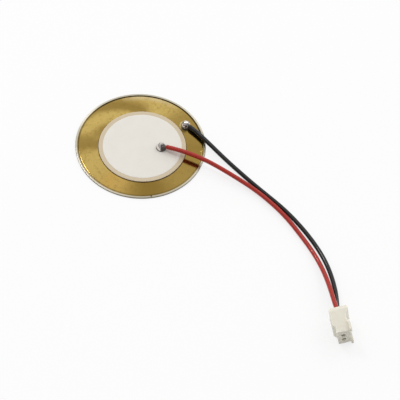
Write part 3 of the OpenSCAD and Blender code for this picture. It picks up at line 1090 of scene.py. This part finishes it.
class PIEZO_OT_leads(bpy.types.Operator):
    """Lays the two insulated leads along their routes"""

    bl_idname = "piezo.leads"
    bl_label = "Leads"

    def execute(self, context):
        settings = context.scene.piezo_disc.leads
        for lead, route in ROUTES.items():
            name = lead + "_insulation"
            curve = bpy.data.curves.new(name, "CURVE")
            curve.dimensions = "3D"
            curve.resolution_u = 6
            curve.bevel_depth = settings.diameter / 2
            curve.bevel_resolution = 7
            curve.use_fill_caps = True
            spline = curve.splines.new("BEZIER")
            spline.bezier_points.add(len(route) - 1)
            for point, place in zip(spline.bezier_points, eased(route, settings.diameter / 2 / MM)):
                point.co = place * MM
                point.handle_left_type = point.handle_right_type = "AUTO"
            shade, dull = getattr(settings, lead), getattr(settings, lead + "_dull")
            curve.materials.append(insulation_finish(name, shade, dull))
            piece = put(name, curve)
            set_piece(piece, [lead + "_lead"])
            getattr(settings, lead + "_length")
        return {"FINISHED"}


WHITE = (1, 1, 1, 1)

# The white share of what is seen of the floor; the rest is its lit colour, with the shadow
FLOOR_WHITE = 0.75

# How bright metal mirrors the room all round, and how much the upper part and a soft box behind
# add to that, with the soft box's direction
ROOM, UPPER_ROOM, SOFT_BOX = 0.12, 0.3, 0.48
SOFT_BOX_WAY = Vector((0, 0.6, 0.8))

# How bright the room lights the object, and how much less it does from the front
FILL, FRONT_SHADE = 1.15, 0.85

# The place in metres that the lamps look at
LAMP_TARGET = Vector((0.02, -0.02, 0))


class PIEZO_OT_stage(bpy.types.Operator):
    """Sets up the floor, the lamps, the surroundings and the camera"""

    bl_idname = "piezo.stage"
    bl_label = "Stage"

    def execute(self, context):
        settings = context.scene.piezo_disc.stage
        self.floor(settings)
        self.world(context)
        self.lamp("key", settings.key_place, settings.key_size, settings.key_energy)
        self.lamp("side", settings.side_place, settings.side_size, settings.side_energy)
        self.camera(context, settings)
        context.scene.view_settings.view_transform = "Standard"
        return {"FINISHED"}

    def floor(self, settings):
        """A pale floor just under the part, which still takes its shadow."""
        bm = bmesh.new()
        bmesh.ops.create_grid(bm, x_segments=1, y_segments=1, size=settings.floor_size / 2)
        bmesh.ops.translate(bm, vec=(0, 0, -settings.floor_gap), verts=bm.verts)
        floor = put("floor", as_mesh("floor", bm))
        finish = Finish("pale_floor", Roughness=0.9, Specular_IOR_Level=0.0)
        floor.data.materials.append(finish.feed(Base_Color=settings.floor))
        camera, glossy, through = finish.rays("Camera", "Glossy", "Transmission")
        seen = (camera + glossy).most(through).least(1)
        glow = finish.add("ShaderNodeEmission", {"Color": WHITE, "Strength": 1})
        lit = Value(finish.tree, finish.shader.outputs[0])
        shown = finish.add("ShaderNodeMixShader", {0: seen * FLOOR_WHITE, 1: lit, 2: glow})
        connect(finish.tree, finish.tree.nodes["Material Output"].inputs["Surface"], shown)

    def world(self, context):
        """A white room: plain white to the camera, darker in the metal, and a soft light."""
        world = bpy.data.worlds.new("studio")
        context.scene.world = world
        world.use_nodes = True
        nodes = Nodes(world.node_tree)
        _, y, z = nodes.split(nodes.add("ShaderNodeTexCoord", output="Generated"))
        camera, glossy = nodes.rays("Camera", "Glossy")
        soft_box = nodes.between(y * SOFT_BOX_WAY.y + z * SOFT_BOX_WAY.z, 0.6, 0.92)
        mirror = nodes.between(z, 0.05, 0.35) * UPPER_ROOM + soft_box * SOFT_BOX + ROOM
        fill = FILL - nodes.between(y * -1, -0.3, 0.7) * FRONT_SHADE
        strength = camera + (1 - camera) * (glossy * mirror + (1 - glossy) * fill)
        background = world.node_tree.nodes["Background"]
        connect(nodes.tree, background.inputs["Color"], WHITE)
        connect(nodes.tree, background.inputs["Strength"], strength)

    def lamp(self, name, place, size, energy):
        """A square area lamp that looks at the object's middle."""
        light = bpy.data.lights.new(name, "AREA")
        light.energy = energy
        light.shape = "SQUARE"
        light.size = size
        holder = put(name, light)
        holder.location = place
        holder.rotation_mode = "QUATERNION"
        holder.rotation_quaternion = (LAMP_TARGET - place).to_track_quat("-Z", "Y")

    def camera(self, context, settings):
        """The camera, which looks down and is turned a little about its line of sight."""
        camera = bpy.data.cameras.new("camera")
        camera.angle = settings.camera_field
        camera.clip_start = 0.01
        camera.clip_end = 20
        holder = put("camera", camera)
        holder.matrix_world = (
            Matrix.Translation(settings.camera_place)
            @ Matrix.Rotation(math.radians(90) - settings.camera_pitch, 4, "X")
            @ Matrix.Rotation(settings.camera_roll, 4, "Z")
        )
        context.scene.camera = holder


class PIEZO_PT_panel(bpy.types.Panel):
    """Lists the pieces of the wired piezo disc"""

    bl_idname = "PIEZO_PT_panel"
    bl_label = "Wired piezo disc"
    bl_space_type = "VIEW_3D"
    bl_region_type = "UI"
    bl_category = "Piezo disc"

    def draw(self, context):
        for operator in OPERATORS:
            self.layout.operator(operator.bl_idname)


OPERATORS = [
    PIEZO_OT_diaphragm,
    PIEZO_OT_ceramic,
    PIEZO_OT_solder,
    PIEZO_OT_connector,
    PIEZO_OT_leads,
    PIEZO_OT_stage,
]
CLASSES = [
    DiaphragmSettings,
    CeramicSettings,
    SolderSettings,
    LeadSettings,
    ConnectorSettings,
    StageSettings,
    PiezoDiscSettings,
    *OPERATORS,
    PIEZO_PT_panel,
]


def register():
    for cls in CLASSES:
        bpy.utils.register_class(cls)
    bpy.types.Scene.piezo_disc = PointerProperty(type=PiezoDiscSettings)


def unregister():
    del bpy.types.Scene.piezo_disc
    for cls in reversed(CLASSES):
        bpy.utils.unregister_class(cls)


def main():
    register()
    bpy.ops.piezo.diaphragm()
    bpy.ops.piezo.ceramic()
    bpy.ops.piezo.solder()
    bpy.ops.piezo.connector()
    bpy.ops.piezo.leads()
    bpy.ops.piezo.stage()


if __name__ == "__main__":
    main()
